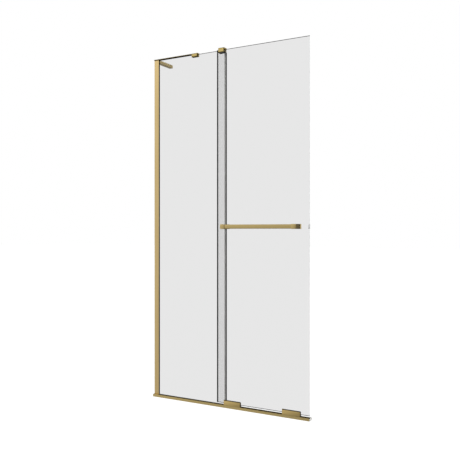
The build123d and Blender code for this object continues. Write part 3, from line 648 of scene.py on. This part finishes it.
sliding_low, sliding_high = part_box("sliding_glass")
for side in ("left", "right"):
    low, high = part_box(f"{side}_carrier_cover")
    cover = block_between(f"{side}_carrier_plate", low, high)
    front = low.y + SKIN
    bevel_edges(cover, lambda a, b: a.y < front and b.y < front, COVER_ROUND, SOFT)
    smooth_round(cover)
    settle(cover, plate_painted_light, "gold_fitting", "sliding_panel", f"{side}_carrier_cover")

    # The rim that stands out past the cover is a painted shade along the carrier's top and sides
    shade_rim = block_between(f"{side}_carrier_painted_shade_rim", (low.x - RIM_SIDE, high.y, low.z),
                        (high.x + RIM_SIDE, sliding_low.y, high.z + RIM_TOP))
    bevel_edges(shade_rim, every_edge, RIM_ROUND, FINE)
    settle(shade_rim, black_rubber_and_painted_shade, "dark_seal", "sliding_panel")

# %% [markdown]
# ## The clamp and the top guide
# Both are saddles over the glass. A saddle starts as a block, and a slot is carved up from below for
# each pane it straddles. Their front edges are cut off at a flat slant, wider than the handle's
# rounds, because they are machined from bar. The guide's foot is raised to leave room for its liner.

# %% Saddles
CLAMP_EDGE = 3.0 * MM
GUIDE_EDGE = 2.5 * MM
OVERCUT = 5 * MM
GUIDE_FOOT = 3.0 * MM


def saddle(name, node, edge, slots, foot=0.0):
    """A bevelled block with slots open at the bottom, each (front, back, roof)."""
    low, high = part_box(node)
    low.z += foot
    block = block_between(name, low, high)
    front, back = low.y + SKIN, high.y - SKIN
    bevel_edges(block, lambda a, b: a.y < front and b.y < front, edge, FLAT)
    bevel_edges(block, lambda a, b: a.y > back and b.y > back, BLOCK_ROUND, SOFT)
    for slot_front, slot_back, roof in slots:
        cutter = block_between("slot_cutter", (low.x - OVERCUT, slot_front, low.z - OVERCUT),
                               (high.x + OVERCUT, slot_back, roof))
        carve(block, cutter)
    smooth_round(block)
    settle(block, block_painted_shade, "gold_fitting", "fixed_screen", node)


def slot_for(node):
    """The slot that a liner or a pair of pads fills: its front, back and roof."""
    low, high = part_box(node)
    return low.y, high.y, high.z


saddle("bar_clamp", "glass_clamp", CLAMP_EDGE, [slot_for("glass_clamp_pads")])
saddle("guide_block", "top_guide", GUIDE_EDGE, [slot_for("top_guide_pads"), slot_for("top_guide_liner")],
       GUIDE_FOOT)

# %% [markdown]
# The guide's nylon liner hangs a little below the metal in front of the sliding pane, so that the
# glass meets nylon first. Its black hanging edge is a painted shade: it makes the dark edge of shade
# under the block, and starts a little way in from the block's left side. It stays in front of the pane
# by a running gap, because the pane slides past.

# %% The liner's hanging edge, a painted shade
SKIRT_DROP = 7.0 * MM
SKIRT_GAP = 0.3 * MM
SKIRT_LEFT = 8.0 * MM
SKIRT_RIGHT = 1.5 * MM
SKIRT_FRONT = 1.5 * MM

low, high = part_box("top_guide")
liner_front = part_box("top_guide_liner")[0].y
shade_skirt = block_between("guide_painted_shade_skirt",
                      (low.x + SKIRT_LEFT, liner_front - SKIRT_FRONT, low.z - SKIRT_DROP),
                      (high.x - SKIRT_RIGHT, sliding_low.y - SKIRT_GAP, low.z + GUIDE_FOOT))
settle(shade_skirt, black_nylon_and_painted_shade, "nylon", "fixed_screen")

# %% [markdown]
# ## The edge seals
# A shower seal is one soft extrusion: two legs that grip the glass and a bulb or a lip. The fixed
# pane's seal ends in a round bulb, and the sliding pane's has a thin lip that brushes the fixed pane,
# so that water stays in while the pane moves. The cross-section could be drawn and pulled upward. It
# is simpler to take a rounded strip and carve the slot for the glass out of it, because the cutter is
# the pane itself and the slot can't miss.

# %% A push-on strip
SEAL_ROUND = 0.45 * MM


def carve_for_glass(piece, foot, top, pane_low, pane_high):
    """Carve the pane's slot through a piece, past its foot and its top."""
    cutter = block_between("glass_cutter", (pane_low.x, pane_low.y, foot - OVERCUT),
                           (pane_high.x, pane_high.y, top + OVERCUT))
    return carve(piece, cutter)


def push_on_strip(name, low, high, pane_low, pane_high):
    """A rounded strip with a slot for the pane's edge."""
    low, high = Vector(low), Vector(high)
    strip = block_between(name, low, high)
    bevel_edges(strip, upright, SEAL_ROUND, SOFT)
    return carve_for_glass(strip, low.z, high.z, pane_low, pane_high)


fixed_low, fixed_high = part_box("fixed_glass")
print("panes apart, mm:", round((fixed_low.y - sliding_high.y) / MM, 1))

# %% [markdown]
# The fixed pane's seal is a pale fin over the glass with a round bulb on its end. The bulb is a strip
# of its own with its outer edges rounded right over, fused to the fin. It takes the light on the side
# of the wall and falls into shade on the other, and that shade is painted: its faces that turn away
# from the wall get a dark colour.

# %% Bulb seal
FIN_TRIM = 1.0 * MM
WEB = 1.5 * MM
BULB_LAP = 1.0 * MM
BULB_ROUND = 3.9 * MM
BULB_TURN = 0.05

low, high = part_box("fixed_edge_seal")
bulb_seal = push_on_strip("bulb_seal", (low.x + FIN_TRIM, low.y, low.z),
                          (fixed_high.x + WEB, high.y, high.z), fixed_low, fixed_high)
bulb_seal.data.materials.append(fin_rubber)
bulb = block_between("bulb", (fixed_high.x - BULB_LAP, low.y, low.z), high)
bevel_edges(bulb, lambda a, b: upright(a, b) and a.x > fixed_high.x, BULB_ROUND, FULL)
carve_for_glass(bulb, low.z, high.z, fixed_low, fixed_high)
bulb.data.materials.append(fin_rubber)
carve(bulb_seal, bulb, "UNION")
# The faces that turn away from the wall take a painted shade, a dark copy of the seal's colour
bulb_seal.data.materials.append(bulb_painted_shade)
painted_shade_slot = len(bulb_seal.data.materials) - 1
for face in bulb_seal.data.polygons:
    if face.normal.x > BULB_TURN and face.center.x > fixed_high.x:
        face.material_index = painted_shade_slot
smooth_round(bulb_seal)
settle(bulb_seal, fin_rubber, "dark_seal", "fixed_screen", "fixed_edge_seal")

# %% [markdown]
# The sliding pane's seal grips its inner edge, and a lip as tall as the gap to the fixed pane runs
# down it. The lip starts below the guide, which would rub it. It is a thin strip fused to the grip.

# %% Lip seal
SEAL_WALL = 1.0 * MM
LIP_TRIM = 0.25 * MM
LIP_WIDTH = 1.5 * MM
LEG_TRIM = 2.0 * MM
LIP_TOP_DROP = 23 * MM

low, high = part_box("sliding_edge_seal")
grip_back = sliding_high.y + SEAL_WALL
low.x += LIP_TRIM
lip_seal = push_on_strip("lip_seal", low, (high.x - LEG_TRIM, grip_back, high.z),
                         sliding_low, sliding_high)
lip = block_between("seal_lip", (low.x, grip_back - SEAL_ROUND * 2, low.z),
                    (low.x + LIP_WIDTH, high.y, high.z - LIP_TOP_DROP))
bevel_edges(lip, upright, SEAL_ROUND, SOFT)
carve(lip_seal, lip, "UNION")
smooth_round(lip_seal)
settle(lip_seal, black_rubber_and_painted_shade, "dark_seal", "sliding_panel", "sliding_edge_seal")

# %% [markdown]
# ## The gasket's lip
# Where the fixed pane enters the wall profile, the front gasket's soft lip laps over the glass and
# shows as one dark upright line beside the gold. That line is painted shade: the lip's brown-black
# stands for the shaded edge of the gold profile, and its brown is a painted reflection of the gold.
# A line could be painted on the glass, but a lip has a thickness and can be seen from the side, so
# it is a block a fifth of a millimetre thick.

# %% Gasket lip
LIP_SHOWS = 3.5 * MM
LIP_THICK = 0.2 * MM

low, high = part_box("wall_profile")
gasket_lip_painted_shade = block_between("gasket_lip_painted_shade", (high.x, fixed_low.y - LIP_THICK, fixed_low.z + LEVEL_GRIND),
                           (high.x + LIP_SHOWS, fixed_low.y, fixed_high.z - LEVEL_GRIND))
settle(gasket_lip_painted_shade, lip_painted_shade, "dark_seal", "fixed_screen")

# %% [markdown]
# ## Dark strips of painted shade in the track
# The runway is a narrow trench for the rollers, and its walls lie in shade. A thin black strip down
# each of its walls is a painted shade, so the trench reads as a dark line between two gold lips. A
# line one pixel wide needs no more than a plain block for each strip.

# %% Strips of painted shade
SHADE_STRIP_THICK = 0.5 * MM
RUNWAY = (3.8 * MM, 12.2 * MM)
RUNWAY_FLOOR = 9.0 * MM
SHADE_STRIP_DROP = 0.3 * MM

track_low, track_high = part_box("base_track")
runway_front, runway_back = (track_low.y + distance for distance in RUNWAY)
for side, front in (("front", runway_front), ("back", runway_back - SHADE_STRIP_THICK)):
    strip = block_between(f"painted_shade_strip_{side}", (track_low.x, front, RUNWAY_FLOOR),
                          (track_high.x, front + SHADE_STRIP_THICK, track_high.z - SHADE_STRIP_DROP))
    settle(strip, black_rubber_and_painted_shade, "dark_seal", "fixed_screen")

# %% [markdown]
# ## The edge bumper
# A small clear vinyl bumper clips over the sliding pane's outer edge, level with the handle, so that
# the pane never strikes tile. The pane is its cutter, as it is for the seals, and the outer rim is
# rounded like any moulded clip.

# %% Edge bumper
BUMPER_ROUND = 1.0 * MM

low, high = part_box("edge_bumper")
bumper = block_between("vinyl_bumper", low, high)
outer = high.x - SKIN
bevel_edges(bumper, lambda a, b: a.x > outer and b.x > outer, BUMPER_ROUND, ROUND)
cutter = block_between("glass_cutter", sliding_low, sliding_high)
carve(bumper, cutter)
smooth_round(bumper)
settle(bumper, clear_vinyl, "clear_seal", "sliding_panel", "edge_bumper")

# %% [markdown]
# ## Camera
# The picture was taken level, with a 50 mm lens, from a little under half the screen's height and
# turned 30 degrees to the screen. A level camera keeps all upright edges upright. Its place was
# worked out from where the level edges meet, which is surer than moving it about by eye.

# %% Place the camera
EYE = (1795.7 * MM, -3078.5 * MM, 990 * MM)
TURN = 30
LENS = 50
SENSOR_WIDTH = 36

camera_data = bpy.data.cameras.new("camera")
camera_data.lens = LENS
camera_data.sensor_width = SENSOR_WIDTH
camera = bpy.data.objects.new("camera", camera_data)
bpy.context.scene.collection.objects.link(camera)
camera.location = EYE
camera.rotation_euler = (math.radians(90), 0, math.radians(TURN))
bpy.context.scene.camera = camera
print("camera at", [round(v, 3) for v in EYE], "turned", TURN, "degrees")

# %% [markdown]
# ## Studio
# The screen stands in a white studio. The camera has to see plain white, directly and through the
# glass, while the metal has to mirror a room with a bright side and a dark side. One brightness can't
# do both, so a mask tells which rays come straight from the camera.

# %% First sight
def first_sight(tree):
    """One where the camera sees a surface directly or through glass, with no bounce before."""
    path = add_node(tree, "ShaderNodeLightPath")
    bounces = add_node(tree, "ShaderNodeMath", {"operation": "ADD"},
                       {0: path.outputs["Glossy Depth"], 1: path.outputs["Diffuse Depth"]})
    none_yet = add_node(tree, "ShaderNodeMath", {"operation": "LESS_THAN", 1: 0.5},
                        {0: bounces.outputs["Value"]})
    through = add_node(tree, "ShaderNodeMath", {"operation": "MULTIPLY"},
                       {0: none_yet.outputs["Value"], 1: path.outputs["Is Transmission Ray"]})
    return add_node(tree, "ShaderNodeMath", {"operation": "MAXIMUM"},
                    {0: path.outputs["Is Camera Ray"], 1: through.outputs["Value"]})


print("white for:", "camera rays and rays through glass")

# %% [markdown]
# The room is bright in front, brighter to the left and above, and falls dark behind, so faces that
# look to the front shine and the returns go dark, which draws the shape of each block. A picture of a
# studio could light it too. Two slopes of light, one for the front half of the room and one for the
# back, do the same, and each has only a direction and a level to set.

# %% The room's light
FRONT_SLOPE, FRONT_LEVEL = (-0.7, 0.0, 0.5), 0.42
BACK_SLOPE, BACK_LEVEL = (0.25, 0.0, 0.0), 0.09
DARKEST = 0.04
BACK_FADE = (-0.5, 0.2)
WHITE = (1, 1, 1, 1)

world = bpy.data.worlds.new("studio")
bpy.context.scene.world = world
world.use_nodes = True
room = world.node_tree
room.nodes.clear()
direction = add_node(room, "ShaderNodeTexCoord")
axes = add_node(room, "ShaderNodeSeparateXYZ", {}, {"Vector": direction.outputs["Generated"]})
sides = []
for slope, level in ((FRONT_SLOPE, FRONT_LEVEL), (BACK_SLOPE, BACK_LEVEL)):
    tilt = add_node(room, "ShaderNodeVectorMath", {"operation": "DOT_PRODUCT", 1: slope},
                    {0: direction.outputs["Generated"]})
    side = add_node(room, "ShaderNodeMath", {"operation": "ADD", 1: level}, {0: tilt.outputs["Value"]})
    sides.append(add_node(room, "ShaderNodeMath", {"operation": "MAXIMUM", 1: DARKEST},
                          {0: side.outputs["Value"]}))
to_back = add_node(room, "ShaderNodeMapRange",
                   {"interpolation_type": "SMOOTHSTEP",
                    "From Min": BACK_FADE[0], "From Max": BACK_FADE[1]},
                   {"Value": axes.outputs["Y"]})
glow = add_node(room, "ShaderNodeMix", {},
                {"Factor": to_back.outputs["Result"], "A": sides[0].outputs["Value"],
                 "B": sides[1].outputs["Value"]})
studio = add_node(room, "ShaderNodeBackground", {"Color": WHITE}, {"Strength": glow.outputs["Result"]})
paper = add_node(room, "ShaderNodeBackground", {"Color": WHITE, "Strength": 1.0})
view_mix = add_node(room, "ShaderNodeMixShader", {},
                    {0: first_sight(room).outputs["Value"], 1: studio.outputs["Background"],
                     2: paper.outputs["Background"]})
room_output = add_node(room, "ShaderNodeOutputWorld")
room.links.new(view_mix.outputs["Shader"], room_output.inputs["Surface"])
print("room light, front and back:", FRONT_LEVEL, BACK_LEVEL)

# %% [markdown]
# The floor is pale paper. Lit paper alone would need far stronger lamps to reach white, and the metal
# would burn out. So a share of its brightness is its own glow, for the camera alone, and it meets the
# white background without a line. The rest is lit, so it keeps a soft shadow.

# %% Floor
FLOOR_HALF = 30
FLOOR_GLOW = 0.86
FIBRE_SIZE = 40 * MM
PAPER_SHADES = ("C4C4C4", "C8C8C8")

start_clean()
bpy.ops.mesh.primitive_plane_add(size=2 * FLOOR_HALF, location=(0, 0, 0))
floor = bpy.context.object
floor.name = "floor"
floor_paper, tree, output = new_material("studio_paper")
place = add_node(tree, "ShaderNodeTexCoord")
fibre = add_node(tree, "ShaderNodeTexNoise", {"Scale": 1 / FIBRE_SIZE, "Detail": 3.0},
                 {"Vector": place.outputs["Object"]})
ramp = add_node(tree, "ShaderNodeValToRGB", {}, {"Fac": fibre.outputs["Fac"]})
for stop, shade in zip(ramp.color_ramp.elements, PAPER_SHADES):
    stop.color = hex_colour(shade)
lit = add_node(tree, "ShaderNodeBsdfDiffuse", {}, {"Color": ramp.outputs["Color"]})
glowing = add_node(tree, "ShaderNodeEmission", {"Strength": FLOOR_GLOW})
both = add_node(tree, "ShaderNodeAddShader", {}, {0: lit.outputs["BSDF"], 1: glowing.outputs["Emission"]})
choice = add_node(tree, "ShaderNodeMixShader", {},
                  {0: first_sight(tree).outputs["Value"], 1: lit.outputs["BSDF"], 2: both.outputs["Shader"]})
tree.links.new(choice.outputs["Shader"], output.inputs["Surface"])
floor.data.materials.append(floor_paper)
floor.visible_glossy = False
floor.visible_transmission = False
floor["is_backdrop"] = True
print("floor:", 2 * FLOOR_HALF, "m square")

# %% [markdown]
# Two large softboxes light what the room's glow leaves flat: the key stands in front to the left, and
# the other behind. Four more are linked to a few pieces each, as the cards that a photographer slips
# in beside a product: one for the wall arm and the blocks on the glass, one for the arm from below,
# one for the right block and cap of the handle, and one for the cap on the track's end. None of them
# is seen by the camera or through the glass.

# %% Softboxes
def softbox(name, place, target, size, watts, receivers=()):
    """A square area lamp that looks at a point, for all pieces or for some only."""
    lamp_data = bpy.data.lights.new(name, "AREA")
    lamp_data.size = size
    lamp_data.energy = watts
    lamp = bpy.data.objects.new(name, lamp_data)
    bpy.context.scene.collection.objects.link(lamp)
    lamp.location = place
    lamp.rotation_euler = (Vector(target) - Vector(place)).to_track_quat("-Z", "Y").to_euler()
    lamp.visible_transmission = False
    lamp.visible_camera = False
    if receivers:
        lit = bpy.data.collections.new(name + "_receivers")
        for piece in receivers:
            lit.objects.link(piece)
        lamp.light_linking.receiver_collection = lit
    print(name, watts, "W at", place)


softbox("key_softbox", (-2.4, -3.0, 4.4), (0, 0, 1), 2.0, 18)
softbox("rear_softbox", (0.6, 2.8, 4.8), (0, 0, 1), 2.0, 18)
softbox("side_softbox", (0.9, 2.1, 2.6), (-0.48, 0.1, 2.0), 1.4, 3,
        (nodes["stabiliser_wall_arm"], bpy.data.objects["bar_clamp"], bpy.data.objects["guide_block"]))
softbox("arm_low_softbox", (-1.85, 2.1, 1.4), (-0.48, 0.1, 2.0), 1.2, 2, (nodes["stabiliser_wall_arm"],))
softbox("handle_side_softbox", (1.5, 2.5, 1.2), (0.4, 0, 1.0), 2.0, 16,
        (bpy.data.objects["inner_cap_right"], bpy.data.objects["standoff_block_right"]))
softbox("track_end_softbox", (2.6, 0.5, 0.8), (0.5, 0, 0), 1.0, 36, (nodes["track_end_cap"],))
bpy.context.scene.view_settings.view_transform = "Standard"

# %% [markdown]
# ## The dressed screen's size
# The dressed screen has to stay inside the construction's box, so its own box is printed.

# %% Sizes and finish
low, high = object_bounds()
print("dressed screen, mm:", [round(size / MM, 1) for size in high - low])
